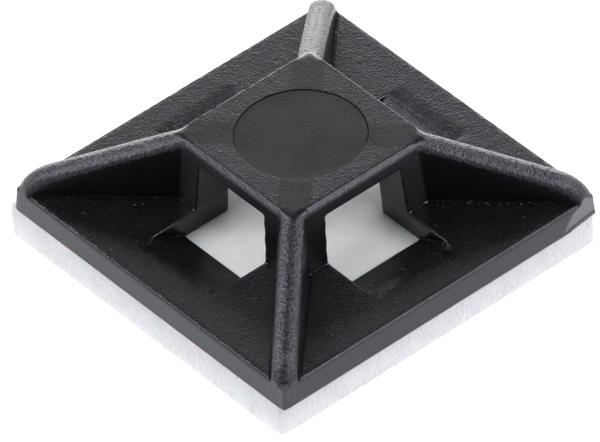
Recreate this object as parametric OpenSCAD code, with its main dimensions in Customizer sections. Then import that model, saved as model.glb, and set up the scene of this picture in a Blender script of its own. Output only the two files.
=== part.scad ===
// Self-adhesive four-way cable tie mount.
// A square base carries a raised square bridge on four corner posts. A cable tie is threaded down a ramp,
// under the bridge and out by the opposite ramp, in either of two crossing directions. Four diagonal ribs
// brace the bridge to the corners of the base. A foam tape pad holds the base to a flat surface.
// Millimetres. The origin is on the bridge's axis, on the adhesive underside of the pad, and +Z is up.

/* [Base] */
// Side of the square base where it meets the pad
base_w = 19; // [18:0.5:24]
// Height of the base slab above the pad
base_h = 1.2; // [0.9:0.1:1.6]
// Draft of the outer walls, in degrees
wall_draft = 6; // [2:0.5:8]
// Radius of the four upright corners
corner_r = 0.4; // [0.25:0.05:0.6]
// Rounding along the top edge of the outer walls
edge_r = 0.2; // [0.1:0.05:0.3]

/* [Bridge] */
// Side of the bridge plate across its top, with its edges taken as sharp
bridge_w = 8.36; // [7.6:0.04:9]
// Height of the top of the bridge above the pad
bridge_h = 4.67; // [4.2:0.01:6]
// Thickness of the bridge plate
bridge_t = 0.85; // [0.7:0.05:1.2]
// Rounding along the top edges of the bridge
bridge_r = 0.25; // [0.2:0.05:0.4]
// Radius of the bridge's upright corners, at its top
bridge_corner_r = 0.5; // [0.3:0.05:0.8]
// Draft of the outer faces of the bridge and its posts, in degrees
post_draft = 4; // [2:0.5:5]

/* [Tie passages] */
// Width of the passages and of the ramps that lead a tie into them, at the pad
passage_w = 4.9; // [4.6:0.05:5.4]
// Draft of the walls beside passages and ramps, which close in upwards, in degrees
passage_draft = 3; // [1:0.5:5]
// Radius of the upright inner edge of each post
post_edge_r = 0.15; // [0.1:0.05:0.6]
// Length of base left between the outer wall and the top of a ramp
ramp_margin = 2.3; // [1.5:0.1:3]
// Horizontal run of a ramp
ramp_run = 2.05; // [1.5:0.05:2.4]
// Height of the upright step at the foot of a ramp
ramp_land = 0.12; // [0.05:0.01:0.3]

/* [Ribs] */
// Width of the ribs
rib_w = 1.2; // [1:0.05:1.5]
// Radius of the crown along the top of a rib
rib_crown_r = 0.8; // [0.75:0.05:1.2]
// Radius of the shoulders between the crown and the sides of a rib
rib_shoulder_r = 0.3; // [0.2:0.05:0.35]
// Radius in which the outer end of a rib turns down to the corner of the base
rib_end_r = 2.4; // [1.8:0.1:2.6]
// Height above the pad at which that turn reaches the upright
rib_end_h = 0.15; // [0:0.05:0.5]
// How far inside the bridge's corner the crest of a rib meets the top of the bridge
rib_blend = 0.45; // [0.2:0.05:0.8]

/* [Bridge mark] */
// Diameter of the smooth disc on top of the bridge
disc_d = 6.1; // [4:0.1:6.5]
// Depth of the disc below the top of the bridge
disc_depth = 0.05; // [0.03:0.01:0.1]

/* [Gate trim] */
// Length of wall from which the moulding gate was sheared, measured from the corner
gate_len = 2.4; // [1.5:0.1:3]
// Angle between the sheared face and the wall, in degrees
gate_angle = 6.4; // [4:0.2:8]
// Height of the lip left along the foot of the sheared face
gate_lip_h = 0.13; // [0.1:0.01:0.2]
// How far that lip stands out of the sheared face
gate_lip_out = 0.06; // [0.03:0.01:0.1]

/* [Pad] */
// How far each edge of the square foam pad stands in from the edge of the base, before any offset
pad_inset = 0; // [0:0.05:0.5]
// Thickness of the foam pad, with its adhesive
pad_t = 1.6; // [0.8:0.1:3]
// Radius of the pad's corners
pad_corner_r = 0.3; // [0.1:0.05:0.6]
// Offset of the pad from the middle of the base, along X
pad_shift_x = -0.2; // [-0.4:0.05:0.4]
// Offset of the pad from the middle of the base, along Y
pad_shift_y = -0.08; // [-0.4:0.02:0.4]

/* [Hidden] */

SIDES = [0, 90, 180, 270];
DIAGONALS = [45, 135, 225, 315];
ROUND = 48;
EDGE_STEPS = 6;
CROWN_STEPS = 4;
// A little material or room past a face, so that no two solids only touch.
EPS = 0.01;
OVERLAP_ANGLE = 3;
CLEAR = 2;

pad_w = base_w - 2 * pad_inset;
ceiling_z = bridge_h - bridge_t;
bridge_foot_w = bridge_w + 2 * bridge_h * tan(post_draft);
bridge_foot_r = bridge_corner_r + bridge_h * tan(post_draft);
post_centre = passage_w / 2 + post_edge_r;
passage_narrowing = (ceiling_z + CLEAR) * tan(passage_draft);
// The passages are open down to the pad as far as the foot of the ramps.
ramp_foot = base_w / 2 - ramp_margin - ramp_run;
ramp_slope = (base_h - ramp_land) / ramp_run;

// Distances along a rib are measured from the axis of the mount. The crest is straight from the top of the
// bridge to the turn at the rib's outer end, which it meets smoothly.
rib_start = bridge_w / sqrt(2) - rib_blend;
rib_tip = (base_w / 2 - corner_r) * sqrt(2) + corner_r;
turn_x = rib_tip - rib_end_r;
turn_drop = bridge_h - rib_end_h;
turn_distance = norm([turn_x - rib_start, turn_drop]);
turn_view = asin(rib_end_r / turn_distance);
crest_slope = atan2(turn_drop, turn_x - rib_start) - turn_view;
crest_length = turn_distance * cos(turn_view);

// The crown runs over into the shoulders, which run over into the rib's flat sides.
shoulder_y = rib_w / 2 - rib_shoulder_r;
shoulder_angle = asin(shoulder_y / (rib_crown_r - rib_shoulder_r));
shoulder_depth = rib_crown_r - (rib_crown_r - rib_shoulder_r) * cos(shoulder_angle);

// Points of an arc about centre c, from angle a to angle b, in n steps.
function arc(c, r, a, b, n) =
    [for (i = [0:n]) c + r * [cos(a + (b - a) * i / n), sin(a + (b - a) * i / n)]];

function mirrored(points) = [for (i = [len(points) - 1:-1:0]) [-points[i].x, points[i].y]];

// Extrudes an upright section equally to both sides, so that it faces along Y.
module upright(length) {
    rotate([90, 0, 0])
        linear_extrude(length, center = true)
            children();
}

// Drafted block on a square foot of side w, with upright corners of radius r and square top edges.
module drafted_prism(w, h, draft, r) {
    cone_h = min(h, r / tan(draft));
    top_w = w - 2 * h * tan(draft);
    for (turn = [0, 90])
        rotate([0, 0, turn])
            upright(w - 2 * r)
                polygon([[-w / 2, 0], [w / 2, 0], [top_w / 2, h], [-top_w / 2, h]]);
    for (turn = DIAGONALS)
        rotate([0, 0, turn])
            translate([(w / 2 - r) * sqrt(2), 0, 0])
                cylinder(h = cone_h, r1 = r, r2 = r - cone_h * tan(draft), $fn = ROUND);
}

// Everything below the rounded top edges of a block of foot side w and height h. It reaches past the block's
// sides, which are cut by the block's own drafted prism.
module rounded_top(w, h, draft, top_r) {
    edge_z = h - top_r;
    edge = arc([w / 2 - edge_z * tan(draft) - top_r / cos(draft), edge_z], top_r, draft, 90, EDGE_STEPS);
    out = w / 2 + CLEAR;
    intersection_for (turn = [0, 90])
        rotate([0, 0, turn])
            upright(2 * out)
                polygon(concat([[-out, -CLEAR], [out, -CLEAR], [out, edge[0].y]], edge, mirrored(edge),
                               [[-out, edge[0].y]]));
}

// Section across a rib: the top of the crown lies on x = 0 and the depth runs towards -x.
module rib_section(depth) {
    crown = arc([-rib_crown_r, 0], rib_crown_r, 0, shoulder_angle, CROWN_STEPS);
    shoulder = arc([-shoulder_depth, shoulder_y], rib_shoulder_r, shoulder_angle, 90, CROWN_STEPS);
    half = concat([for (i = [1:CROWN_STEPS - 1]) crown[i]], shoulder);
    other = [for (i = [len(half) - 1:-1:0]) [half[i].x, -half[i].y]];
    polygon(concat([[-depth, -rib_w / 2]], other, [crown[0]], half, [[-depth, rib_w / 2]]));
}

// One rib, running out along +X from inside the bridge.
module rib() {
    translate([turn_x, 0, rib_end_h])
        rotate([90, 0, 0]) {
            rotate_extrude(angle = 90 - crest_slope + OVERLAP_ANGLE, $fn = 2 * ROUND)
                translate([rib_end_r, 0])
                    rib_section(rib_end_r - EPS);
            rotate([-90, 0, 90 - crest_slope])
                translate([rib_end_r, 0, 0])
                    linear_extrude(crest_length + bridge_r)
                        rib_section(bridge_h);
        }
}

// One quarter of the solid that stays between the passages, drafted on the two faces beside them.
module post_core() {
    reach = base_w / 2;
    for (swap = [0, 1])
        mirror([swap, -swap, 0])
            translate([post_centre, post_centre + reach, 0])
                upright(2 * reach)
                    polygon([[-post_edge_r, 0], [reach, 0], [reach, ceiling_z + CLEAR],
                             [-post_edge_r - passage_narrowing, ceiling_z + CLEAR]]);
    translate([post_centre, post_centre, 0])
        cylinder(h = ceiling_z + CLEAR, r1 = post_edge_r, r2 = post_edge_r + passage_narrowing, $fn = ROUND);
}

// Room under the bridge: two crossing passages that leave four posts standing.
module passages() {
    difference() {
        translate([-ramp_foot, -ramp_foot, -EPS])
            cube([2 * ramp_foot, 2 * ramp_foot, ceiling_z + EPS]);
        for (turn = SIDES)
            rotate([0, 0, turn])
                translate([0, 0, -EPS])
                    post_core();
    }
}

// One ramp up through the slab, opening along +X, between the same drafted walls as the passage.
module ramp_cut() {
    top_x = ramp_foot + (ceiling_z - ramp_land) / ramp_slope;
    top_w = passage_w - 2 * ceiling_z * tan(passage_draft);
    intersection() {
        upright(2 * passage_w)
            polygon([[ramp_foot - EPS, ramp_land - EPS * ramp_slope], [top_x, ceiling_z],
                     [ramp_foot - EPS, ceiling_z]]);
        rotate([0, 0, 90])
            upright(4 * base_w)
                polygon([[-passage_w / 2, 0], [passage_w / 2, 0], [top_w / 2, ceiling_z],
                         [-top_w / 2, ceiling_z]]);
    }
}

// The flat left at one corner where the gate was sheared from the wall that faces +X.
module gate_cut() {
    reach = [CLEAR, 2 * CLEAR + gate_len, bridge_h];
    translate([base_w / 2, base_w / 2 - gate_len, 0])
        rotate([0, 0, gate_angle]) {
            translate([0, -CLEAR, gate_lip_h])
                cube(reach);
            translate([gate_lip_out, -CLEAR, -EPS])
                cube(reach);
        }
}

module mount_body() {
    color("#3d3e42")
        translate([0, 0, pad_t])
            difference() {
                intersection() {
                    drafted_prism(base_w, bridge_h, wall_draft, corner_r);
                    union() {
                        rounded_top(base_w, base_h, wall_draft, edge_r);
                        intersection() {
                            drafted_prism(bridge_foot_w, bridge_h, post_draft, bridge_foot_r);
                            rounded_top(bridge_foot_w, bridge_h, post_draft, bridge_r);
                        }
                        for (turn = DIAGONALS)
                            rotate([0, 0, turn])
                                rib();
                    }
                }
                passages();
                for (turn = SIDES)
                    rotate([0, 0, turn])
                        ramp_cut();
                translate([0, 0, bridge_h - disc_depth])
                    cylinder(h = CLEAR, d = disc_d, $fn = 2 * ROUND);
                gate_cut();
            }
}

module adhesive_pad() {
    color("#e9e9ec")
        translate([pad_shift_x, pad_shift_y, 0])
            linear_extrude(pad_t) {
                square([pad_w, pad_w - 2 * pad_corner_r], center = true);
                square([pad_w - 2 * pad_corner_r, pad_w], center = true);
                for (turn = DIAGONALS)
                    rotate(turn)
                        translate([(pad_w / 2 - pad_corner_r) * sqrt(2), 0])
                            circle(pad_corner_r, $fn = ROUND);
            }
}

mount_body();
adhesive_pad();
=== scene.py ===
# %% [markdown]
# # A self-adhesive cable tie mount
# A small square moulding of black nylon on a square of white foam tape. A cable tie is threaded down a
# ramp, under the raised bridge and out by the opposite ramp. The whole thing is 19 mm across, so its
# looks depend on small things: how round the edges are, the grain that the mould leaves on the plastic,
# and the cut cells along the sides of the foam.
#
# We load the CAD solids first. They fix every size and place, and we dress them without moving them.

# %% Load the frame
import math

import bmesh
import bpy
import numpy as np
from mathutils import Matrix, Vector
from mathutils.kdtree import KDTree


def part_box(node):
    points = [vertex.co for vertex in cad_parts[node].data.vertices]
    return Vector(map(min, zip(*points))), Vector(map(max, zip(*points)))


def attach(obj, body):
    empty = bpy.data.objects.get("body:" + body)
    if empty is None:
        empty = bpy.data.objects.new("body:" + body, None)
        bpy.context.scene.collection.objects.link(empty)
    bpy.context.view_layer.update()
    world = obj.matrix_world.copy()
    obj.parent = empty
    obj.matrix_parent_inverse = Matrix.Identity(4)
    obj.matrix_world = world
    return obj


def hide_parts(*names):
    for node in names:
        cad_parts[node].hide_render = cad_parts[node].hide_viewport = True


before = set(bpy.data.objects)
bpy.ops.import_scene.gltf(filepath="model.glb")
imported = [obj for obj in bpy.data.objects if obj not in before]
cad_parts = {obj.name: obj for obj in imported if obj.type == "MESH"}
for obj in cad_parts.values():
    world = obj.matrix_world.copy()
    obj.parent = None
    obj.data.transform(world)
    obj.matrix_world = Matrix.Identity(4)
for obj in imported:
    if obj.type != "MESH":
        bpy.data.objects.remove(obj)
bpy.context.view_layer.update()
MM = 0.001
body_low, body_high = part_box("mount_body")
pad_low, pad_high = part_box("adhesive_pad")
base_half = body_high.x
foot_z = body_low.z
top_z = body_high.z
print("base half-width", round(base_half / MM, 2), "mm, top of the bridge at", round(top_z / MM, 2), "mm")

# %% [markdown]
# ## Small helpers
# Colours are written as sRGB hex values, as a paint chart gives them, and one function turns them into
# the linear values that a shader works in. One more function adds a shader or geometry node, sets its
# properties and inputs, and links what feeds it. A link is written as the socket it comes from.

# %% Colours and nodes
def linear(hex_colour):
    channels = [int(hex_colour[i:i + 2], 16) / 255 for i in (1, 3, 5)]
    return (*[c / 12.92 if c <= 0.04045 else ((c + 0.055) / 1.055) ** 2.4 for c in channels], 1.0)


def add(tree, kind, inputs=None, **settings):
    node = tree.nodes.new(kind)
    for name, value in settings.items():
        setattr(node, name, value)
    for key, value in (inputs or {}).items():
        if isinstance(value, bpy.types.NodeSocket):
            tree.links.new(value, node.inputs[key])
        else:
            node.inputs[key].default_value = value
    return node


def new_material(name):
    material = bpy.data.materials.new(name)
    material.use_nodes = True
    material.node_tree.nodes.clear()
    return material, material.node_tree


# %% Mesh helpers
def link_object(name, mesh):
    piece = bpy.data.objects.new(name, mesh)
    bpy.context.scene.collection.objects.link(piece)
    return piece


def apply_modifiers(piece):
    evaluated = piece.evaluated_get(bpy.context.evaluated_depsgraph_get())
    mesh = bpy.data.meshes.new_from_object(evaluated)
    piece.modifiers.clear()
    piece.data = mesh
    return piece


def count(piece):
    return sum(len(p.vertices) - 2 for p in piece.data.polygons)


# %% [markdown]
# Several finishes of this object repeat by a rule: the relief left by the spark-eroded mould, the open
# cells of the foam, the grains and the flecks of flash. Each is a Geometry Nodes tree with named inputs.
# Three helpers start such a tree, end it, and run it on a piece, which becomes a plain mesh again.

# %% Geometry Nodes helpers
def start_tree(name, settings):
    tree = bpy.data.node_groups.new(name, "GeometryNodeTree")
    tree.interface.new_socket("Geometry", in_out="INPUT", socket_type="NodeSocketGeometry")
    for label, (kind, value) in settings.items():
        socket = tree.interface.new_socket(label, in_out="INPUT", socket_type="NodeSocket" + kind)
        socket.default_value = value
    tree.interface.new_socket("Geometry", in_out="OUTPUT", socket_type="NodeSocketGeometry")
    return tree, add(tree, "NodeGroupInput").outputs


def end_tree(tree, geometry, material):
    realized = add(tree, "GeometryNodeRealizeInstances", {"Geometry": geometry})
    coated = add(tree, "GeometryNodeSetMaterial", {"Geometry": realized.outputs[0], "Material": material})
    add(tree, "NodeGroupOutput", {"Geometry": coated.outputs[0]})


def run_tree(piece, tree, **changes):
    modifier = piece.modifiers.new(tree.name, "NODES")
    modifier.node_group = tree
    for socket in tree.interface.items_tree:
        label = socket.name.lower().replace(" ", "_")
        if socket.in_out == "INPUT" and label in changes:
            modifier[socket.identifier] = changes[label]
    return apply_modifiers(piece)


# %% [markdown]
# ## Black nylon, as moulded
# Cable accessories are mostly nylon 6/6, here coloured black against sunlight. The mould's surfaces are
# spark eroded, which leaves a matt grain of about 0.1 mm on the floors, the bridge and the ribs. The
# upright walls are smoother, because the moulding has to slide off them. The disc on the bridge is the
# end of a ground pin, so it carries fine straight grinding lines instead of grain. The grain is weaker
# along the bridge's two diagonals and stronger along the ribs. The face at one corner, where the piece
# was sheared from the gate, is smooth and paler. The low strip at its foot is painted pale too: painted
# light over the shade that falls there.
#
# Black nylon takes in almost all the light that enters it. What we see is the thin reflection from its
# surface, so the grain is drawn as bump and small changes of roughness, and hardly as colour. The grain
# is drawn at 0.10 mm, and the mottling of the ribs at 0.17 mm: as coarse as they need to be to show.
#
# Some places are given painted shade, by turning their reflection down. The steep faces above the floor
# are dimmed, most where they face a diagonal, as the flanks of the ribs do, and so are the ramps at two
# sides, which are also made rougher. Dark lines of painted shade run along the foot of each rib and along
# each crest, broken into dashes, and round the disc. The other two ramps get a painted highlight, by
# turning their reflection up, and so, a little, do the tops of the ribs. Masks for these are worked out
# from the place and the slope of the surface. Only the lines at the feet of the ribs follow a value called
# fold, which is stored on the mesh further on.

# %% Sizes that the masks use
NYLON_IOR = 1.53
GRAIN = 0.10 * MM
MOTTLE = 0.17 * MM
PLATE_BAND = 0.12
DISC_RADIUS = 3.05 * MM
DISC_LINE_HALF = 0.032 * MM
STRIP_HALF = 0.75 * MM
CREST_LINE_HALF = 0.055 * MM
CREST_WAVE = 0.35 * MM
CREST_WANDER = 0.35 * MM
RIBS_ABOVE = foot_z + 1.28 * MM
RAMPS_BELOW = foot_z + 1.25 * MM
RAMP_MASK_HALF = 2.6 * MM
RAMP_MASK_REACH = 8.8 * MM
GATE_FROM_X = 9.1 * MM
GATE_FROM_Y = 7.0 * MM
GATE_LIP = 0.25 * MM
print("grain", round(GRAIN / MM, 2), "mm, disc", round(2 * DISC_RADIUS / MM, 2), "mm across")

# %% Masks for the disc, the diagonals and the crests
nylon, tree = new_material("black_nylon_spark_grain")
coords = add(tree, "ShaderNodeTexCoord").outputs
place = coords["Object"]
xyz = add(tree, "ShaderNodeSeparateXYZ", {"Vector": place}).outputs
facing_xyz = add(tree, "ShaderNodeSeparateXYZ", {"Vector": coords["Normal"]}).outputs
flat = add(tree, "ShaderNodeCombineXYZ", {"X": xyz["X"], "Y": xyz["Y"]})
reach = add(tree, "ShaderNodeVectorMath", {0: flat.outputs[0]}, operation="LENGTH")
on_plate = add(tree, "ShaderNodeMath", {0: xyz["Z"], 1: top_z - PLATE_BAND * MM}, operation="GREATER_THAN")
in_disc = add(tree, "ShaderNodeMath", {0: reach.outputs["Value"], 1: DISC_RADIUS}, operation="LESS_THAN")
disc = add(tree, "ShaderNodeMath", {0: in_disc.outputs[0], 1: on_plate.outputs[0]}, operation="MULTIPLY")
wobble = add(tree, "ShaderNodeTexNoise", {"Vector": place, "Scale": 1 / CREST_WAVE, "Detail": 2.0})
shift = add(tree, "ShaderNodeMath", {0: wobble.outputs["Fac"], 1: -0.5}, operation="ADD")
strips, off_crests = [], []
for operation in ("ADD", "SUBTRACT"):
    across = add(tree, "ShaderNodeMath", {0: xyz["X"], 1: xyz["Y"]}, operation=operation)
    bent = add(tree, "ShaderNodeMath", {0: shift.outputs[0], 1: CREST_WANDER, 2: across.outputs[0]},
               operation="MULTIPLY_ADD")
    off_crests.append(add(tree, "ShaderNodeMath", {0: bent.outputs[0]}, operation="ABSOLUTE"))
    off_line = add(tree, "ShaderNodeMath", {0: across.outputs[0]}, operation="ABSOLUTE")
    strips.append(add(tree, "ShaderNodeMath", {0: off_line.outputs[0], 1: STRIP_HALF * math.sqrt(2)},
                      operation="LESS_THAN"))
strip = add(tree, "ShaderNodeMath", {0: strips[0].outputs[0], 1: strips[1].outputs[0]}, operation="MAXIMUM")
strip_on_plate = add(tree, "ShaderNodeMath", {0: strip.outputs[0], 1: on_plate.outputs[0]},
                     operation="MULTIPLY")
print("masks of the plate:", len(tree.nodes), "nodes")

# %% Mask for the face sheared from the gate, and for the painted light at its foot
turned = add(tree, "ShaderNodeMapRange", {"Value": facing_xyz["Y"], "From Min": 0.05, "From Max": 0.09})
near_gate = add(tree, "ShaderNodeMath", {0: xyz["Y"], 1: GATE_FROM_Y}, operation="GREATER_THAN")
outer = add(tree, "ShaderNodeMath", {0: xyz["X"], 1: GATE_FROM_X}, operation="GREATER_THAN")
corner = add(tree, "ShaderNodeMath", {0: near_gate.outputs[0], 1: outer.outputs[0]}, operation="MULTIPLY")
upright = add(tree, "ShaderNodeMapRange", {"Value": facing_xyz["Z"], "From Min": 0.04, "From Max": 0.09,
                                           "To Min": 1.0, "To Max": 0.0})
# Painted light: the low strip at the foot of this face is made pale as well, over the shade that falls there.
lit_lip_strip = add(tree, "ShaderNodeMath", {0: xyz["Z"], 1: foot_z + GATE_LIP}, operation="LESS_THAN")
cut = add(tree, "ShaderNodeMath", {0: upright.outputs[0], 1: lit_lip_strip.outputs[0]}, operation="MAXIMUM")
turned_cut = add(tree, "ShaderNodeMath", {0: cut.outputs[0], 1: turned.outputs[0]}, operation="MULTIPLY")
gate = add(tree, "ShaderNodeMath", {0: corner.outputs[0], 1: turned_cut.outputs[0]}, operation="MULTIPLY")
print("with the gate:", len(tree.nodes), "nodes")

# %% Grain and drag marks
GRAIN_STRENGTH, CALM_STRENGTH = 0.62, 0.02
WALL_STRENGTH = 0.30
DIAGONAL_CALM = 0.55

craters = add(tree, "ShaderNodeTexVoronoi", {"Vector": place, "Scale": 1 / GRAIN})
fine = add(tree, "ShaderNodeTexNoise", {"Vector": place, "Scale": 1 / (1.1 * GRAIN), "Detail": 3.0,
                                        "Roughness": 0.6})
uneven = add(tree, "ShaderNodeTexNoise", {"Vector": place, "Scale": 1 / (0.45 * MM), "Detail": 3.0})
deeper = add(tree, "ShaderNodeMapRange", {"Value": uneven.outputs["Fac"], "From Min": 0.35, "From Max": 0.7,
                                          "To Min": 0.25, "To Max": 1.0})
pits = add(tree, "ShaderNodeMath", {0: craters.outputs["Distance"], 1: deeper.outputs[0]},
           operation="MULTIPLY")
grain = add(tree, "ShaderNodeMath", {0: pits.outputs[0], 1: 0.6, 2: fine.outputs["Fac"]},
            operation="MULTIPLY_ADD")
drawn = add(tree, "ShaderNodeMapping", {"Vector": place, "Scale": (1.0, 1.0, 0.16)})
drag = add(tree, "ShaderNodeTexNoise", {"Vector": drawn.outputs[0], "Scale": 1 / (0.11 * MM), "Detail": 2.0})
level = add(tree, "ShaderNodeMapRange", {"Value": facing_xyz["Z"], "From Min": 0.12, "From Max": 0.45})
relief = add(tree, "ShaderNodeMix", {"Factor": level.outputs[0], "A": drag.outputs["Fac"],
                                     "B": grain.outputs[0]})
calm = add(tree, "ShaderNodeMath", {0: disc.outputs[0], 1: gate.outputs[0]}, operation="MAXIMUM")
half_calm = add(tree, "ShaderNodeMath", {0: strip_on_plate.outputs[0], 1: DIAGONAL_CALM},
                operation="MULTIPLY")
smooth = add(tree, "ShaderNodeMath", {0: calm.outputs[0], 1: half_calm.outputs[0]}, operation="MAXIMUM")
grain_strength = add(tree, "ShaderNodeMapRange", {"Value": smooth.outputs[0], "To Min": GRAIN_STRENGTH,
                                                  "To Max": CALM_STRENGTH})
side_strength = add(tree, "ShaderNodeMapRange", {"Value": level.outputs[0], "To Min": WALL_STRENGTH,
                                                 "To Max": 1.0})
moulded = add(tree, "ShaderNodeMath", {0: grain_strength.outputs[0], 1: side_strength.outputs[0]},
              operation="MULTIPLY")
print("with the grain:", len(tree.nodes), "nodes")

# %% Mottling of the ribs, and grinding lines on the disc
RIB_EXTRA = 0.35
MOTTLE_HEIGHT = 1.5
LINE_TURN = math.radians(76)
LINE_STRETCH = 28.0
LINE_STRENGTH = 0.32

above_floor = add(tree, "ShaderNodeMath", {0: xyz["Z"], 1: RIBS_ABOVE}, operation="GREATER_THAN")
off_plate = add(tree, "ShaderNodeMath", {0: above_floor.outputs[0], 1: on_plate.outputs[0]},
                operation="SUBTRACT")
on_rib = add(tree, "ShaderNodeMath", {0: off_plate.outputs[0], 1: strip.outputs[0]}, operation="MULTIPLY",
             use_clamp=True)
strength = add(tree, "ShaderNodeMath", {0: on_rib.outputs[0], 1: RIB_EXTRA, 2: moulded.outputs[0]},
               operation="MULTIPLY_ADD")
coarse = add(tree, "ShaderNodeTexNoise", {"Vector": place, "Scale": 1 / MOTTLE, "Detail": 1.5})
mottled = add(tree, "ShaderNodeMath", {0: coarse.outputs["Fac"], 1: on_rib.outputs[0]}, operation="MULTIPLY")
height = add(tree, "ShaderNodeMath", {0: mottled.outputs[0], 1: MOTTLE_HEIGHT, 2: relief.outputs["Result"]},
             operation="MULTIPLY_ADD")
grained = add(tree, "ShaderNodeBump", {"Strength": strength.outputs[0], "Distance": 0.035 * MM,
                                       "Height": height.outputs[0]})
ground = add(tree, "ShaderNodeMapping", {"Vector": place, "Rotation": (0, 0, LINE_TURN),
                                         "Scale": (LINE_STRETCH, 1.0, 1.0)}, vector_type="TEXTURE")
lines = add(tree, "ShaderNodeTexNoise", {"Vector": ground.outputs[0], "Scale": 1 / (0.10 * MM), "Detail": 3.0,
                                         "Roughness": 0.7})
line_strength = add(tree, "ShaderNodeMath", {0: disc.outputs[0], 1: LINE_STRENGTH}, operation="MULTIPLY")
ground_bump = add(tree, "ShaderNodeBump", {
    "Strength": line_strength.outputs[0], "Distance": 0.02 * MM, "Height": lines.outputs["Fac"],
    "Normal": grained.outputs["Normal"]})
print("nylon relief made")

# %% Colour and roughness
tint = add(tree, "ShaderNodeMix", {"Factor": fine.outputs["Fac"], "A": linear("#080809"),
                                   "B": linear("#0d0d0f")}, data_type="RGBA")
sheared_face_and_lit_lip = add(tree, "ShaderNodeMix", {"Factor": gate.outputs[0], "A": tint.outputs["Result"],
                                      "B": linear("#4a4b4f")}, data_type="RGBA")
patchy = add(tree, "ShaderNodeTexNoise", {"Vector": place, "Scale": 1 / (1.4 * MM), "Detail": 2.0})
rough = add(tree, "ShaderNodeMapRange", {"Value": patchy.outputs["Fac"], "From Min": 0.3, "From Max": 0.7,
                                         "To Min": 0.27, "To Max": 0.34})
print("with the colour:", len(tree.nodes), "nodes")

# %% Painted shade on the steep flanks of the ribs, the posts and the bridge
steepness = add(tree, "ShaderNodeMapRange", {"Value": facing_xyz["Z"], "From Min": 0.12, "From Max": 0.7,
                                             "To Min": 1.0, "To Max": 0.0})
steep_flanks = add(tree, "ShaderNodeMath", {0: above_floor.outputs[0], 1: steepness.outputs[0]},
              operation="MULTIPLY")
sideways = [add(tree, "ShaderNodeMath", {0: facing_xyz[axis]}, operation="ABSOLUTE") for axis in "XY"]
diagonal = add(tree, "ShaderNodeMath", {0: sideways[0].outputs[0], 1: sideways[1].outputs[0]},
               operation="MINIMUM")
shade_by_facing = add(tree, "ShaderNodeMapRange", {"Value": diagonal.outputs[0], "From Min": 0.2, "From Max": 0.45,
                                           "To Min": 0.38, "To Max": 0.72})
# Painted shade: steep faces above the floor reflect less, most where they face a diagonal, as the rib flanks
# do.
painted_flank_shade = add(tree, "ShaderNodeMath", {0: steep_flanks.outputs[0], 1: shade_by_facing.outputs[0]},
                  operation="MULTIPLY")
print("with the flanks:", len(tree.nodes), "nodes")

# %% Ramps: painted shade on two, a painted highlight on the other two
beside = [add(tree, "ShaderNodeMath", {0: xyz[axis]}, operation="ABSOLUTE") for axis in "XY"]
narrower = add(tree, "ShaderNodeMath", {0: beside[0].outputs[0], 1: beside[1].outputs[0]},
               operation="MINIMUM")
in_lane = add(tree, "ShaderNodeMath", {0: narrower.outputs[0], 1: RAMP_MASK_HALF}, operation="LESS_THAN")
inside = add(tree, "ShaderNodeMath", {0: reach.outputs["Value"], 1: RAMP_MASK_REACH}, operation="LESS_THAN")
low = add(tree, "ShaderNodeMath", {0: xyz["Z"], 1: RAMPS_BELOW}, operation="LESS_THAN")
not_steep = add(tree, "ShaderNodeMath", {0: facing_xyz["Z"], 1: 0.7}, operation="GREATER_THAN")
lean = add(tree, "ShaderNodeMath", {0: facing_xyz["Y"], 1: facing_xyz["X"]}, operation="SUBTRACT")
# The ramps on the -Y and +X sides get painted shade, and the ramps on the -X and +Y sides a painted
# highlight.
ramps = []
for lean_from, lean_to in ((0.05, 0.30), (-0.05, -0.30)):
    ramp = add(tree, "ShaderNodeMapRange", {"Value": lean.outputs[0], "From Min": lean_from,
                                            "From Max": lean_to})
    for limit in (in_lane, inside, low, not_steep):
        ramp = add(tree, "ShaderNodeMath", {0: ramp.outputs[0], 1: limit.outputs[0]}, operation="MULTIPLY")
    ramps.append(ramp)
shaded_ramp, lit_ramp = ramps
print("with the ramps:", len(tree.nodes), "nodes")

# %% Painted dark lines at the feet of the ribs, round the disc and along the crests
# Painted shade: these lines take the reflection away, in dashes at the feet of the ribs and along the crests,
# and in a thin ring round the disc.
crease_mark = add(tree, "ShaderNodeAttribute", attribute_name="fold")
dashes = add(tree, "ShaderNodeTexNoise", {"Vector": place, "Scale": 1 / (0.3 * MM), "Detail": 2.0})
unbroken = add(tree, "ShaderNodeMath", {0: dashes.outputs["Fac"], 1: 0.65}, operation="LESS_THAN")
crease_shade = add(tree, "ShaderNodeMath", {0: crease_mark.outputs["Fac"], 1: unbroken.outputs[0]},
                operation="MULTIPLY")
from_rim = add(tree, "ShaderNodeMath", {0: reach.outputs["Value"], 1: DISC_RADIUS, 2: DISC_LINE_HALF},
               operation="COMPARE")
rim_shade = add(tree, "ShaderNodeMath", {0: from_rim.outputs[0], 1: on_plate.outputs[0]}, operation="MULTIPLY")
near_crests = [add(tree, "ShaderNodeMath", {0: off.outputs[0], 1: CREST_LINE_HALF * math.sqrt(2)},
                   operation="LESS_THAN") for off in off_crests]
crest = add(tree, "ShaderNodeMath", {0: near_crests[0].outputs[0], 1: near_crests[1].outputs[0]},
            operation="MAXIMUM")
crest_shade_dashes = add(tree, "ShaderNodeMapRange", {"Value": dashes.outputs["Fac"], "From Min": 0.44,
                                              "From Max": 0.62, "To Min": 0.60, "To Max": 0.0})
on_crest = add(tree, "ShaderNodeMath", {0: crest.outputs[0], 1: off_plate.outputs[0]}, operation="MULTIPLY")
crest_shade_line = add(tree, "ShaderNodeMath", {0: on_crest.outputs[0], 1: crest_shade_dashes.outputs[0]},
                 operation="MULTIPLY", use_clamp=True)
print("with the torn lines:", len(tree.nodes), "nodes")

# %% Nylon shader
FULL_GLOSS, DULL_GLOSS = 0.5, 0.05
RAMP_SHADE = 0.85
RAMP_SHADE_ROUGHNESS = 0.6
RIB_HIGHLIGHT_GLOSS = 0.12
RAMP_HIGHLIGHT_GLOSS = 0.60

# Painted light through the reflection: it is turned down where the masks paint shade, and turned up as a
# painted highlight on two ramps and on the tops of the ribs. The shaded ramps are also made rougher.
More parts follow.
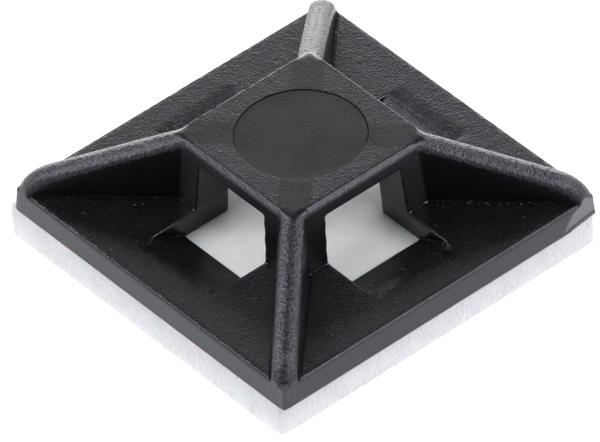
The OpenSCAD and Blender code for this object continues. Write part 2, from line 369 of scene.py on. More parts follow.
ramp_dimming = add(tree, "ShaderNodeMath", {0: shaded_ramp.outputs[0], 1: RAMP_SHADE}, operation="MULTIPLY")
painted_dimming = painted_flank_shade
for patch in (ramp_dimming, crease_shade, rim_shade, crest_shade_line):
    painted_dimming = add(tree, "ShaderNodeMath", {0: painted_dimming.outputs[0], 1: patch.outputs[0]}, operation="MAXIMUM")
plain_gloss = add(tree, "ShaderNodeMapRange", {"Value": painted_dimming.outputs[0], "To Min": FULL_GLOSS,
                                               "To Max": DULL_GLOSS})
rib_top = add(tree, "ShaderNodeMath", {0: on_rib.outputs[0], 1: steepness.outputs[0]}, operation="SUBTRACT",
              use_clamp=True)
rib_gloss = add(tree, "ShaderNodeMath", {0: rib_top.outputs[0], 1: RIB_HIGHLIGHT_GLOSS, 2: plain_gloss.outputs[0]},
                operation="MULTIPLY_ADD")
gloss = add(tree, "ShaderNodeMath", {0: lit_ramp.outputs[0], 1: RAMP_HIGHLIGHT_GLOSS, 2: rib_gloss.outputs[0]},
            operation="MULTIPLY_ADD")
shaded_ramp_roughness = add(tree, "ShaderNodeMath", {0: shaded_ramp.outputs[0], 1: RAMP_SHADE_ROUGHNESS}, operation="MULTIPLY")
rougher = add(tree, "ShaderNodeMath", {0: rough.outputs[0], 1: shaded_ramp_roughness.outputs[0]}, operation="MAXIMUM")
surface = add(tree, "ShaderNodeBsdfPrincipled", {
    "Base Color": sheared_face_and_lit_lip.outputs["Result"], "Roughness": rougher.outputs[0], "IOR": NYLON_IOR,
    "Specular IOR Level": gloss.outputs[0], "Specular Tint": linear("#edf0ff"),
    "Normal": ground_bump.outputs["Normal"]})
add(tree, "ShaderNodeOutputMaterial", {"Surface": surface.outputs[0]})
print("nylon nodes:", len(tree.nodes))

# %% [markdown]
# ## The moulding
# The real piece is injection moulded in one shot. A mould is cut with tools and sparks, so no edge of
# the moulding is perfectly sharp: even its tightest corners have a radius of about 0.1 mm. The CAD
# solid already has the big radii, and its tight edges are sharp.
#
# A bevel on every edge would be the usual way. It breaks down here, because four crowned ribs run into
# the bridge at odd angles and the bevels would cross. We use the remesher instead: it turns the solid
# into a dense even skin, and a few smoothing steps then round every outer edge by the same small amount.
# Inner corners are sharp ridges on the mould and stay crisp, so there each point is moved the opposite
# way. The work is done in millimetres and scaled back at the end, so the sizes below are plain numbers.
#
# Four places are then worked by hand, as the toolmaker does. The upper edges of the bridge and of the
# outer walls are broken with a narrow flat at 45 degrees, wider at the two front edges of the bridge. The
# tops of the ramps blend into the floor, so that a tie slides in without catching. The corners where the
# ribs meet the bridge are softened. And the front corner of the base ends in a sharp upright edge, where
# two plates of the mould meet. Each is a short rule on the points of the skin, because a bevel or a
# sculpting brush can't be told where a rib begins.

# %% Copy the CAD solid and join its loose triangles
JOIN_WITHIN = 0.002

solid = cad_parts["mount_body"].data.copy()
joined = bmesh.new()
joined.from_mesh(solid)
bmesh.ops.scale(joined, vec=(1 / MM,) * 3, verts=joined.verts)
bmesh.ops.remove_doubles(joined, verts=joined.verts, dist=JOIN_WITHIN)
joined.to_mesh(solid)
joined.free()
solid.materials.clear()
body = link_object("moulded_body", solid)
print("joined copy:", len(solid.vertices), "vertices")

# %% Give it one even skin
SKIN_CELL = 0.06

remesher = body.modifiers.new("skin", "REMESH")
remesher.mode = "VOXEL"
remesher.voxel_size = SKIN_CELL
remesher.use_smooth_shade = True
apply_modifiers(body)
print("even skin:", count(body), "triangles")


# %% Round the outer edges and keep the inner corners crisp
ROUNDING_STEPS = 5
INNER_MOVE = 0.004
INNER_SHARE = -1.0


def read_points(mesh):
    flat_list = np.empty(len(mesh.vertices) * 3)
    mesh.vertices.foreach_get("co", flat_list)
    return flat_list.reshape(-1, 3)


before = read_points(body.data)
rounder = body.modifiers.new("rounding", "SMOOTH")
rounder.factor = 0.5
rounder.iterations = ROUNDING_STEPS
apply_modifiers(body)
after = read_points(body.data)
out = np.array([v.normal for v in body.data.vertices])
grew = ((after - before) * out).sum(1) > INNER_MOVE
after[grew] = before[grew] + INNER_SHARE * (after[grew] - before[grew])
print("inner corner points:", int(grew.sum()), "of", len(grew))


# %% Flatten the upper edges of the bridge and of the outer walls
X, Y = 0, 1
BASE_HEIGHT = 1.2
WALL_DRAFT = math.radians(6)
BRIDGE_HALF = 4.18
BRIDGE_CUTS = {(X, 1): 0.20, (Y, -1): 0.20, (X, -1): 0.09, (Y, 1): 0.10}
WALL_CUTS = {(X, 1): 0.09, (Y, -1): 0.07, (X, -1): 0.09, (Y, 1): 0.09}
EDGE_FADE = 0.5
ABOVE_TOP = 0.03
STRIP_WIDTH = 0.4
STRIP_SUNK, STRIP_BAND = 0.04, 0.045


def flatten_edge(points, half, top, keep_off, cuts, depth):
    """Cuts the edges between a block's top and its sides back to narrow faces at 45 degrees.

    The cuts fade out before the block's corners, by keep_off, and reach no lower than depth. The strip of
    the top beside a cut has been rounded down a little, so it is lifted back to the level of the top."""
    wide = np.abs(points[:, :2]).max(1)
    along = np.abs(points[:, :2]).min(1)
    share = np.clip((half - keep_off - along) / EDGE_FADE, 0, 1)
    for (axis, side), cut in cuts.items():
        over = (side * points[:, axis] + points[:, 2] - (half + top - cut * share)) / 2
        over[(over < 0) | (share <= 0)] = 0
        over[(points[:, 2] < top - depth) | (points[:, 2] > top + ABOVE_TOP)] = 0
        over[side * points[:, axis] < wide - 1e-9] = 0
        points[:, axis] -= side * over
        points[:, 2] -= over
        reached = side * points[:, axis]
        strip = (over == 0) & (share > 0) & (reached > half - STRIP_WIDTH) & (reached <= half - cut)
        strip &= np.abs(points[:, 2] - top + STRIP_SUNK) < STRIP_BAND
        points[strip, 2] += (top - points[strip, 2]) * share[strip]


wall_half = base_half / MM - BASE_HEIGHT * math.tan(WALL_DRAFT)
floor_top = (foot_z + BASE_HEIGHT * MM) / MM
bridge_top = top_z / MM
flatten_edge(after, BRIDGE_HALF, bridge_top, 0.55, BRIDGE_CUTS, depth=0.4)
flatten_edge(after, wall_half, floor_top, 0.85, WALL_CUTS, depth=0.3)
print("edges broken at", round(bridge_top, 2), "and", round(floor_top, 2), "mm")

# %% Blend the tops of the ramps into the floor
RAMP_TOP, RAMP_SLOPE, RAMP_BLEND = 7.2, 0.527, 0.95
LANE_HALF, LANE_FADE = 2.38, 0.3

wide, along = np.abs(after[:, :2]).max(1), np.abs(after[:, :2]).min(1)
inward = np.clip(RAMP_TOP - wide, -RAMP_BLEND, RAMP_BLEND)
drop = RAMP_SLOPE * ((inward + RAMP_BLEND) ** 2 / (4 * RAMP_BLEND) - np.maximum(inward, 0))
in_lanes = np.clip((LANE_HALF - along) / LANE_FADE, 0, 1)
in_lanes = in_lanes * (out[:, 2] > 0.6) * (after[:, 2] < floor_top + 0.05)
after[:, 2] -= drop * in_lanes
print("ramp points:", int((drop * in_lanes > 0).sum()))


# %% Soften the corners where the ribs meet the bridge
CORNERS_FROM, CORNERS_TO, CORNERS_FADE = 3.2, 4.75, 0.35
CORNERS_DEPTH, CORNERS_DEPTH_FADE = 0.75, 0.3
CORNER_STEPS = 26


def soften(points, links, share, steps):
    """Smooths the points where share is above 0, by moving each towards its neighbours."""
    for _ in range(steps):
        total, number = np.zeros_like(points), np.zeros(len(points))
        for here, there in (links, links[::-1]):
            np.add.at(total, here, points[there])
            np.add.at(number, here, 1)
        points += (total / number[:, None] - points) * (0.5 * share)[:, None]


links = np.empty(len(body.data.edges) * 2, dtype=int)
body.data.edges.foreach_get("vertices", links)
at_corners = np.clip((along - CORNERS_FROM) / CORNERS_FADE, 0, 1)
at_corners *= np.clip((CORNERS_TO - wide) / CORNERS_FADE, 0, 1)
at_corners *= np.clip((after[:, 2] - bridge_top + CORNERS_DEPTH) / CORNERS_DEPTH_FADE, 0, 1)
soften(after, links.reshape(-1, 2).T, at_corners, CORNER_STEPS)
print("softened points:", int((at_corners > 0).sum()))

# %% Make the front corner of the base squarer
CORNER_R = 0.4
SQUARED_SHARE = 0.75

rise = np.clip(after[:, 2] - foot_z / MM, 0, BASE_HEIGHT)
centre = base_half / MM - CORNER_R - rise * math.tan(WALL_DRAFT)
to_x, to_y = after[:, 0] - centre, -after[:, 1] - centre
at_front = (to_x > 0) & (to_y > 0) & (after[:, 2] < floor_top + 0.1)
squarer = np.hypot(to_x, to_y)[at_front] / np.maximum(to_x, to_y)[at_front]
grow = 1 + SQUARED_SHARE * (squarer - 1)
after[at_front, 0] += to_x[at_front] * (grow - 1)
after[at_front, 1] -= to_y[at_front] * (grow - 1)
body.data.vertices.foreach_set("co", after.ravel())
body.data.update()
print("front corner points:", int(at_front.sum()))

# %% [markdown]
# The ribs and posts are deep, narrow slots in the mould. Their steep shoulders drag on the steel as the
# moulding is pushed out, which draws the grain into short upright streaks, and the crests come out
# slightly uneven. That is big enough to be real shape: a Geometry Nodes tree moves the skin along its
# normals by two noises, one even and one stretched upwards, each only where it belongs.

# %% Relief of the ribs
relief_tree, wants = start_tree("rib_relief", {
    "Uneven depth": ("Float", 0.020), "Uneven width": ("Float", 0.15),
    "Streak depth": ("Float", 0.050), "Streak width": ("Float", 0.11), "From height": ("Float", 1.0)})
where = add(relief_tree, "GeometryNodeInputPosition").outputs[0]
normal = add(relief_tree, "GeometryNodeInputNormal").outputs[0]
height = add(relief_tree, "ShaderNodeSeparateXYZ", {"Vector": where}).outputs["Z"]
slope = add(relief_tree, "ShaderNodeSeparateXYZ", {"Vector": normal}).outputs["Z"]
above = add(relief_tree, "ShaderNodeMath", {0: height, 1: wants["From height"]}, operation="SUBTRACT")
raised = add(relief_tree, "ShaderNodeMapRange", {"Value": above.outputs[0], "From Min": 0.0, "From Max": 0.5})
upward = add(relief_tree, "ShaderNodeMapRange", {"Value": slope, "From Min": 0.1, "From Max": 0.4})
not_flat = add(relief_tree, "ShaderNodeMapRange", {"Value": slope, "From Min": 0.94, "From Max": 0.99,
                                                   "To Min": 1.0, "To Max": 0.0})
steep = add(relief_tree, "ShaderNodeMapRange", {"Value": slope, "From Min": 0.55, "From Max": 0.85,
                                                "To Min": 1.0, "To Max": 0.0})
on_ribs = add(relief_tree, "ShaderNodeMath", {0: raised.outputs[0], 1: upward.outputs[0]},
              operation="MULTIPLY")
on_crests = add(relief_tree, "ShaderNodeMath", {0: on_ribs.outputs[0], 1: not_flat.outputs[0]},
                operation="MULTIPLY")
on_shoulders = add(relief_tree, "ShaderNodeMath", {0: on_ribs.outputs[0], 1: steep.outputs[0]},
                   operation="MULTIPLY")
stretched = add(relief_tree, "ShaderNodeVectorMath", {0: where, 1: (1.0, 1.0, 0.2)}, operation="MULTIPLY")
moves = []
for field, width, depth, mask in ((where, "Uneven width", "Uneven depth", on_crests),
                                  (stretched.outputs[0], "Streak width", "Streak depth", on_shoulders)):
    scale = add(relief_tree, "ShaderNodeMath", {0: 1.0, 1: wants[width]}, operation="DIVIDE")
    noise = add(relief_tree, "ShaderNodeTexNoise", {"Vector": field, "Scale": scale.outputs[0],
                                                    "Detail": 1.0})
    centred = add(relief_tree, "ShaderNodeMath", {0: noise.outputs["Fac"], 1: 0.5}, operation="SUBTRACT")
    masked = add(relief_tree, "ShaderNodeMath", {0: centred.outputs[0], 1: mask.outputs[0]},
                 operation="MULTIPLY")
    moves.append(add(relief_tree, "ShaderNodeMath", {0: masked.outputs[0], 1: wants[depth]},
                     operation="MULTIPLY").outputs[0])
total = add(relief_tree, "ShaderNodeMath", {0: moves[0], 1: moves[1]}, operation="ADD")
move = add(relief_tree, "ShaderNodeVectorMath", {0: normal, "Scale": total.outputs[0]}, operation="SCALE")
moved = add(relief_tree, "GeometryNodeSetPosition", {"Geometry": wants["Geometry"],
                                                     "Offset": move.outputs[0]})
end_tree(relief_tree, moved.outputs[0], nylon)
run_tree(body, relief_tree, from_height=floor_top + 0.15)
print("relief added above", round(floor_top, 2), "mm")

# %% Thin out the flat parts
KEPT_SHARE = 0.30

thinner = body.modifiers.new("thinning", "DECIMATE")
thinner.ratio = KEPT_SHARE
apply_modifiers(body)
print("thinned skin:", count(body), "triangles")

# %% [markdown]
# The skin rounds the rim of the disc on the bridge too much, because the step is thinner than one cell.
# We cut that area out and put in a clean round one: a ring at the level of the bridge, a step and the
# flat disc. The step is 0.03 mm deep, a little shallower than the 0.05 mm of the CAD solid. Then the edges
# at the inner corners and the broken edges of the bridge are set to stay sharp, and a value called fold
# tells the material where to paint the dark lines of shade at the feet of the ribs.

# %% Cut out the old disc
HOLE_MARGIN = 0.22

shape = bmesh.new()
shape.from_mesh(body.data)
hole = [f for f in shape.faces if f.normal.z > 0.5 and f.calc_center_median().z > bridge_top - PLATE_BAND
        and f.calc_center_median().xy.length < DISC_RADIUS / MM + HOLE_MARGIN]
bmesh.ops.delete(shape, geom=hole, context="FACES")
rim_edges = [e for e in shape.edges if e.is_boundary]
for vertex in {v for e in rim_edges for v in e.verts}:
    vertex.co.z = bridge_top
print("edges of the hole:", len(rim_edges))

# %% Put in a clean one, ring by ring from outside the step to the middle
RIM_SEGMENTS = 180
RIM_RINGS = ((0.03, 0.0), (0.012, 0.004), (-0.012, 0.026), (-0.03, 0.03), (-0.5, 0.03), (-2.0, 0.03))
STEP_DEPTH = RIM_RINGS[-1][1]


def ring_at(radius, z):
    turns = [2 * math.pi * k / RIM_SEGMENTS for k in range(RIM_SEGMENTS)]
    return [shape.verts.new((radius * math.cos(t), radius * math.sin(t), z)) for t in turns]


rings = [ring_at(DISC_RADIUS / MM + beyond, bridge_top - down) for beyond, down in RIM_RINGS]
ring_edges = [shape.edges.new((rings[0][k - 1], rings[0][k])) for k in range(RIM_SEGMENTS)]
bmesh.ops.triangle_fill(shape, use_beauty=True, use_dissolve=False, edges=rim_edges + ring_edges,
                        normal=(0, 0, 1))
for wider, narrower_ring in zip(rings, rings[1:]):
    for k in range(RIM_SEGMENTS):
        shape.faces.new((wider[k - 1], wider[k], narrower_ring[k], narrower_ring[k - 1]))
middle = shape.verts.new((0, 0, bridge_top - STEP_DEPTH))
for k in range(RIM_SEGMENTS):
    shape.faces.new((rings[-1][k - 1], rings[-1][k], middle))
bmesh.ops.recalc_face_normals(shape, faces=shape.faces)
for face in shape.faces:
    face.smooth = True
print("open edges left round the disc:", sum(e.is_boundary for e in shape.edges))

# %% Mark the inner corners, and the folds at the feet of the ribs
INNER_ANGLE = math.radians(28)
FOOT_BAND = 0.12
FOLD_FULL, FOLD_LENGTH = 1.6, 0.08

creases = [e for e in shape.edges if e.is_manifold and e.calc_face_angle_signed(0) < -INNER_ANGLE
           and e.verts[0].co.z < bridge_top - 0.1]
for edge in creases:
    edge.smooth = False
at_foot = [v for e in creases for v in e.verts if v.co.z < floor_top + FOOT_BAND]
folded = KDTree(len(at_foot))
for k, vertex in enumerate(at_foot):
    folded.insert(vertex.co, k)
folded.balance()
# fold marks where the material paints a dark line of shade near the foot of each rib.
fold = shape.verts.layers.float.new("fold")
for vertex in shape.verts:
    vertex[fold] = min(1.0, max(0.0, FOLD_FULL - folded.find(vertex.co)[2] / FOLD_LENGTH))
print("crisp inner edges:", len(creases))

# %% Keep the broken edges of the bridge sharp
CRISP_ANGLE = math.radians(12)

crisp = [e for e in shape.edges if e.is_manifold and e.calc_face_angle_signed(0) > CRISP_ANGLE
         and min(v.co.z for v in e.verts) > bridge_top - 0.03 and min(f.normal.z for f in e.link_faces) > 0.5
         and e.verts[0].co.xy.length > DISC_RADIUS / MM + 0.25]
for edge in crisp:
    edge.smooth = False
shape.to_mesh(body.data)
shape.free()
print("crisp edges of the bridge:", len(crisp))

# %% Even shading, and back to metres
evener = body.modifiers.new("flat_shading", "WEIGHTED_NORMAL")
evener.mode = "FACE_AREA"
evener.weight = 50
evener.keep_sharp = True
apply_modifiers(body)
body.data.transform(Matrix.Scale(MM, 4))
print("finished skin:", count(body), "triangles, materials:", [m.name for m in body.data.materials])

# %% [markdown]
# ## White polyethylene foam
# The foam is white all through. Light goes a little way into it and comes out softened, so the pits in
# its cut sides look pale grey and never black. Its top is covered by a thin film of adhesive, which is
# slightly wavy. The cut sides are painted greyer than the top, and darker towards their upper edge: painted
# shade under the black moulding.

# %% White foam
foam, tree = new_material("white_polyethylene_foam")
coords = add(tree, "ShaderNodeTexCoord").outputs
place = coords["Object"]
foam_height = add(tree, "ShaderNodeSeparateXYZ", {"Vector": place}).outputs["Z"]
foam_up = add(tree, "ShaderNodeSeparateXYZ", {"Vector": coords["Normal"]}).outputs["Z"]
cloud = add(tree, "ShaderNodeTexNoise", {"Vector": place, "Scale": 1 / (0.9 * MM), "Detail": 4.0})
# Painted shade: the cut sides are greyer than the top and darker towards their upper edge, under the black
# moulding.
painted_side_shade = add(tree, "ShaderNodeMapRange", {"Value": foam_height, "From Min": pad_low.z,
                                          "From Max": pad_high.z})
cut_side_with_shade = add(tree, "ShaderNodeMix", {"Factor": painted_side_shade.outputs[0], "A": linear("#cfcfd3"),
                                       "B": linear("#b3b4b9")}, data_type="RGBA")
on_top = add(tree, "ShaderNodeMapRange", {"Value": foam_up, "From Min": 0.6, "From Max": 0.9})
whole = add(tree, "ShaderNodeMix", {"Factor": on_top.outputs[0], "A": cut_side_with_shade.outputs["Result"],
                                    "B": linear("#e2e2e5")}, data_type="RGBA")
cloudy = add(tree, "ShaderNodeMapRange", {"Value": cloud.outputs["Fac"], "From Min": 0.3, "From Max": 0.7,
                                          "To Min": 0.92, "To Max": 1.0})
tint = add(tree, "ShaderNodeVectorMath", {0: whole.outputs["Result"], "Scale": cloudy.outputs[0]},
           operation="SCALE")
film = add(tree, "ShaderNodeTexNoise", {"Vector": place, "Scale": 1 / (0.35 * MM), "Detail": 3.0})
wavy = add(tree, "ShaderNodeBump", {"Strength": 0.35, "Distance": 0.03 * MM, "Height": film.outputs["Fac"]})
surface = add(tree, "ShaderNodeBsdfPrincipled", {
    "Base Color": tint.outputs[0], "Roughness": 0.7, "IOR": 1.45, "Subsurface Weight": 0.3,
    "Subsurface Scale": 0.3 * MM, "Normal": wavy.outputs["Normal"]})
add(tree, "ShaderNodeOutputMaterial", {"Surface": surface.outputs[0]})
print("foam nodes:", len(tree.nodes))

# %% [markdown]
# ## The foam tape pad
# The pad is closed-cell foam, cut to a square with a blade. The blade opens the cells, so the cut sides
# are pitted and their edges are a little ragged. Such cells are about 0.2 mm across, and are drawn at
# 0.3 mm so that they show.
#
# We build the block with a fine grid of side faces. A Geometry Nodes tree then presses each open cell
# into the sides. It is real geometry, so it also shows along the outline.

# %% A block with a fine grid on its sides
GRID = 0.055 * MM
PAD_CORNER = 0.3 * MM
ARC_STEPS = 6


def pad_outline(low, high, radius, step):
    points = []
    corners = ((high.x, high.y, 0), (low.x, high.y, 90), (low.x, low.y, 180), (high.x, low.y, 270))
    for x, y, start in corners:
        for k in range(ARC_STEPS + 1):
            angle = math.radians(start + 90 / ARC_STEPS * k)
            points.append((x - math.copysign(radius, x) + radius * math.cos(angle),
                           y - math.copysign(radius, y) + radius * math.sin(angle)))
    outline = []
    for (ax, ay), (bx, by) in zip(points, points[1:] + points[:1]):
        steps = max(1, round(math.hypot(bx - ax, by - ay) / step))
        outline += [(ax + (bx - ax) * i / steps, ay + (by - ay) * i / steps) for i in range(steps)]
    return outline


outline = pad_outline(pad_low, pad_high, PAD_CORNER, GRID)
pad_height = pad_high.z - pad_low.z
rows = round(pad_height / GRID)
ring = len(outline)
points = [(x, y, pad_low.z + pad_height * j / rows) for j in range(rows + 1) for x, y in outline]
faces = [(j * ring + i, j * ring + (i + 1) % ring, (j + 1) * ring + (i + 1) % ring, (j + 1) * ring + i)
         for j in range(rows) for i in range(ring)]
faces += [tuple(rows * ring + i for i in range(ring)), tuple(reversed(range(ring)))]
pad_mesh = bpy.data.meshes.new("foam_pad")
pad_mesh.from_pydata(points, [], faces)
pad_mesh.validate()
for face in pad_mesh.polygons:
    face.use_smooth = len(face.vertices) == 4
pad = link_object("foam_pad", pad_mesh)
print("foam block:", count(pad), "triangles")

# %% Open cells along the cut
cell_tree, wants = start_tree("open_cells", {
    "Cell size": ("Float", 0.30 * MM), "Cell depth": ("Float", 0.04 * MM), "Wander": ("Float", 0.03 * MM)})
where = add(cell_tree, "GeometryNodeInputPosition").outputs[0]
normal = add(cell_tree, "GeometryNodeInputNormal").outputs[0]
level_part = add(cell_tree, "ShaderNodeVectorMath", {0: normal, 1: (1.0, 1.0, 0.0)}, operation="MULTIPLY")
outward = add(cell_tree, "ShaderNodeVectorMath", {0: level_part.outputs[0]}, operation="NORMALIZE")
scale = add(cell_tree, "ShaderNodeMath", {0: 1.0, 1: wants["Cell size"]}, operation="DIVIDE")
cells = add(cell_tree, "ShaderNodeTexVoronoi", {"Vector": where, "Scale": scale.outputs[0]},
            feature="DISTANCE_TO_EDGE")
pit = add(cell_tree, "ShaderNodeMapRange", {"Value": cells.outputs["Distance"], "From Min": 0.02,
                                            "From Max": 0.32}, interpolation_type="SMOOTHSTEP")
pressed = add(cell_tree, "ShaderNodeMath", {0: pit.outputs[0], 1: wants["Cell depth"]}, operation="MULTIPLY")
waver = add(cell_tree, "ShaderNodeTexNoise", {"Vector": where, "Scale": 1 / (1.5 * MM), "Detail": 2.0})
wander = add(cell_tree, "ShaderNodeMath", {0: waver.outputs["Fac"], 1: wants["Wander"]}, operation="MULTIPLY")
inward = add(cell_tree, "ShaderNodeMath", {0: pressed.outputs[0], 1: wander.outputs[0]}, operation="ADD")
back = add(cell_tree, "ShaderNodeMath", {0: inward.outputs[0], 1: -1.0}, operation="MULTIPLY")
move = add(cell_tree, "ShaderNodeVectorMath", {0: outward.outputs[0], "Scale": back.outputs[0]},
           operation="SCALE")
moved = add(cell_tree, "GeometryNodeSetPosition", {"Geometry": wants["Geometry"], "Offset": move.outputs[0]})
end_tree(cell_tree, moved.outputs[0], foam)
run_tree(pad, cell_tree)
print("foam pad:", count(pad), "triangles")

# %% [markdown]
# ## Grains, specks and flecks of flash
# Small waste is left on a fresh moulding. Deep sparks leave single grains that stand proud of the floors
# and ribs and catch the light. Where parts of the mould meet, along the foot of two ribs, along one outer
# wall and a third of the way round the pin, the plastic creeps into the gap and leaves flecks of flash.
# Thin flash is bent when the mould opens, and bent nylon turns pale, so the flecks are a lighter grey. A
# few specks of the same pale nylon cling to the floors and ribs.
#
# All are one small many-sided grain placed many times. One tree scatters it over faces, for the proud
# grains and the pale specks, and another strings it along lines, for the flecks.

# %% Whitened nylon
whitened, tree = new_material("stress_whitened_nylon")
place = add(tree, "ShaderNodeTexCoord").outputs["Object"]
pale = add(tree, "ShaderNodeTexNoise", {"Vector": place, "Scale": 1 / (0.5 * MM), "Detail": 2.0})
tint = add(tree, "ShaderNodeMix", {"Factor": pale.outputs["Fac"], "A": linear("#3c3d40"),
                                   "B": linear("#b4b5b9")}, data_type="RGBA")
surface = add(tree, "ShaderNodeBsdfPrincipled", {"Base Color": tint.outputs["Result"], "Roughness": 0.45,
                                                 "IOR": NYLON_IOR})
add(tree, "ShaderNodeOutputMaterial", {"Surface": surface.outputs[0]})
print("whitened nylon nodes:", len(tree.nodes))

# %% Grains that stand proud, and pale specks
FULL_TURN = 6.28

grain_tree, wants = start_tree("proud_grains", {
    "Per square metre": ("Float", 6.0e6), "Size": ("Float", 0.032 * MM), "Seed": ("Int", 4),
    "Material": ("Material", nylon)})
slope = add(grain_tree, "ShaderNodeSeparateXYZ",
            {"Vector": add(grain_tree, "GeometryNodeInputNormal").outputs[0]}).outputs["Z"]
spot = add(grain_tree, "ShaderNodeSeparateXYZ",
           {"Vector": add(grain_tree, "GeometryNodeInputPosition").outputs[0]}).outputs["Z"]
levelish = add(grain_tree, "ShaderNodeMath", {0: slope, 1: 0.5}, operation="GREATER_THAN")
lower = add(grain_tree, "ShaderNodeMath", {0: spot, 1: top_z - 0.1 * MM}, operation="LESS_THAN")
chosen = add(grain_tree, "ShaderNodeMath", {0: levelish.outputs[0], 1: lower.outputs[0]},
             operation="MULTIPLY")
points = add(grain_tree, "GeometryNodeDistributePointsOnFaces",
             {"Mesh": wants["Geometry"], "Selection": chosen.outputs[0], "Density": wants["Per square metre"],
              "Seed": wants["Seed"]})
crumb = add(grain_tree, "GeometryNodeMeshIcoSphere", {"Radius": wants["Size"], "Subdivisions": 1})
turn = add(grain_tree, "FunctionNodeRandomValue", {"Max": (FULL_TURN,) * 3, "Seed": wants["Seed"]},
           data_type="FLOAT_VECTOR")
stretch = add(grain_tree, "FunctionNodeRandomValue", {"Min": (0.4, 0.4, 0.3), "Max": (1.2, 1.0, 0.8),
                                                      "Seed": wants["Seed"]}, data_type="FLOAT_VECTOR")
crumbs = add(grain_tree, "GeometryNodeInstanceOnPoints",
             {"Points": points.outputs["Points"], "Instance": crumb.outputs["Mesh"],
              "Rotation": turn.outputs["Value"], "Scale": stretch.outputs["Value"]})
end_tree(grain_tree, crumbs.outputs[0], wants["Material"])
grains = link_object("proud_grains", body.data.copy())
run_tree(grains, grain_tree)
specks = link_object("pale_specks", body.data.copy())
run_tree(specks, grain_tree, per_square_metre=0.6e6, size=0.026 * MM, seed=9, material=whitened)
print("proud grains:", count(grains), "triangles, pale specks:", count(specks))

# %% Flecks of flash along the parting lines
fleck_tree, wants = start_tree("flash_flecks", {
    "Spacing": ("Float", 0.12 * MM), "Size": ("Float", 0.040 * MM), "Kept": ("Float", 0.4),
    "Scatter": ("Float", 0.04 * MM), "Seed": ("Int", 11)})
line = add(fleck_tree, "GeometryNodeMeshToCurve", {"Mesh": wants["Geometry"]})
beads = add(fleck_tree, "GeometryNodeResampleCurve", {"Curve": line.outputs[0], "Length": wants["Spacing"]},
            mode="LENGTH")
strung = add(fleck_tree, "GeometryNodeCurveToPoints", {"Curve": beads.outputs[0]}, mode="EVALUATED")
draw = add(fleck_tree, "FunctionNodeRandomValue", {"Seed": wants["Seed"]}, data_type="FLOAT")
dropped = add(fleck_tree, "ShaderNodeMath", {0: draw.outputs[1], 1: wants["Kept"]}, operation="GREATER_THAN")
fewer = add(fleck_tree, "GeometryNodeDeleteGeometry", {"Geometry": strung.outputs["Points"],
                                                       "Selection": dropped.outputs[0]}, domain="POINT")
shake = add(fleck_tree, "FunctionNodeRandomValue", {"Min": (-1.0, -1.0, -0.3), "Max": (1.0, 1.0, 0.5),
                                                    "Seed": wants["Seed"]}, data_type="FLOAT_VECTOR")
shift = add(fleck_tree, "ShaderNodeVectorMath", {0: shake.outputs["Value"], "Scale": wants["Scatter"]},
            operation="SCALE")
placed = add(fleck_tree, "GeometryNodeSetPosition", {"Geometry": fewer.outputs[0],
                                                     "Offset": shift.outputs[0]})
crumb = add(fleck_tree, "GeometryNodeMeshIcoSphere", {"Radius": wants["Size"], "Subdivisions": 1})
turn = add(fleck_tree, "FunctionNodeRandomValue", {"Max": (FULL_TURN,) * 3, "Seed": wants["Seed"]},
           data_type="FLOAT_VECTOR")
stretch = add(fleck_tree, "FunctionNodeRandomValue", {"Min": (0.3, 0.2, 0.1), "Max": (1.3, 0.6, 0.4),
                                                      "Seed": wants["Seed"]}, data_type="FLOAT_VECTOR")
flecks_out = add(fleck_tree, "GeometryNodeInstanceOnPoints",
                 {"Points": placed.outputs[0], "Instance": crumb.outputs["Mesh"],
                  "Rotation": turn.outputs["Value"], "Scale": stretch.outputs["Value"]})
end_tree(fleck_tree, flecks_out.outputs[0], whitened)

# %% Parting lines, and the flecks along them
WALL_TOP_IN = 0.06 * MM
WALL_TOP_DOWN = 0.05 * MM
PIN_GAP_R = 3.09 * MM
PIN_GAP_DOWN = 0.02 * MM
STEPS_PER_RADIAN = 12

rim_at = base_half - (BASE_HEIGHT * MM - WALL_TOP_DOWN) * math.tan(WALL_DRAFT) - WALL_TOP_IN
rim_z = foot_z + BASE_HEIGHT * MM
straight_lines = [((-0.88 * rim_at, -rim_at, rim_z), (0.9 * rim_at, -rim_at, rim_z)),
                  ((-4.9 * MM, -3.9 * MM, rim_z), (-8.3 * MM, -7.3 * MM, rim_z)),
                  ((5.0 * MM, 4.0 * MM, rim_z), (8.2 * MM, 7.2 * MM, rim_z))]
pin_arc = [(PIN_GAP_R * math.cos(t / STEPS_PER_RADIAN), PIN_GAP_R * math.sin(t / STEPS_PER_RADIAN),
            top_z - PIN_GAP_DOWN) for t in range(14, 42)]
guide_points = [p for pair in straight_lines for p in pair] + pin_arc
first = 2 * len(straight_lines)
guide_edges = [(k, k + 1) for k in range(0, first, 2)]
guide_edges += [(first + k, first + k + 1) for k in range(len(pin_arc) - 1)]
guide = bpy.data.meshes.new("parting_lines")
guide.from_pydata(guide_points, guide_edges, [])
flecks = link_object("flash_flecks", guide)
run_tree(flecks, fleck_tree)
print("flecks of flash:", count(flecks), "triangles")

# %% Put every piece on the frame
for piece, node, slot in ((body, "mount_body", "black_nylon"), (pad, "adhesive_pad", "white_foam")):
    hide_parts(node)
    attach(piece, "root")
for piece in (grains, specks, flecks):
    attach(piece, "root")

# %% [markdown]
# ## Floor, light and camera
# The mount lies on a white table that is lit from below as well, as in a catalogue studio, so the floor
# stays white right up to the foam. The room is dark above. Softboxes stand to the left, to the right and
# behind, with a small one high on the left and none at the front. A low strip behind and the pale horizon
# give every rounded edge a soft line of light.

